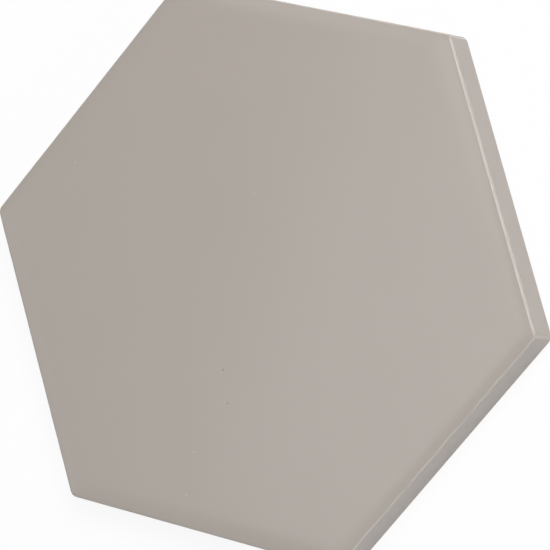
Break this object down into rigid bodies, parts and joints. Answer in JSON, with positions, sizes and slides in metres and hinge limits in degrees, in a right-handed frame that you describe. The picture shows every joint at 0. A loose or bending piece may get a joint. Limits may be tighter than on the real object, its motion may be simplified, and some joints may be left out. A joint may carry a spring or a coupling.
{
  "type": "hexagon tile",
  "caption": "Hexagonal ceramic wall tile with a satin glazed face, a softly rolled border and a ribbed unglazed back for adhesive.",
  "frame": {"origin": "middle of the back, on the plane that the ribs and the rim lie on", "axes": "+Z out of the glazed face, +X through a corner, so +Y is square to one pair of sides"},
  "size_m": [0.123, 0.107, 0.0083],
  "materials": {
    "glazed_tile": "satin"
  },
  "bodies": {
    "root": {"hexagon_tile": "glazed_tile"}
  },
  "joints": []
}
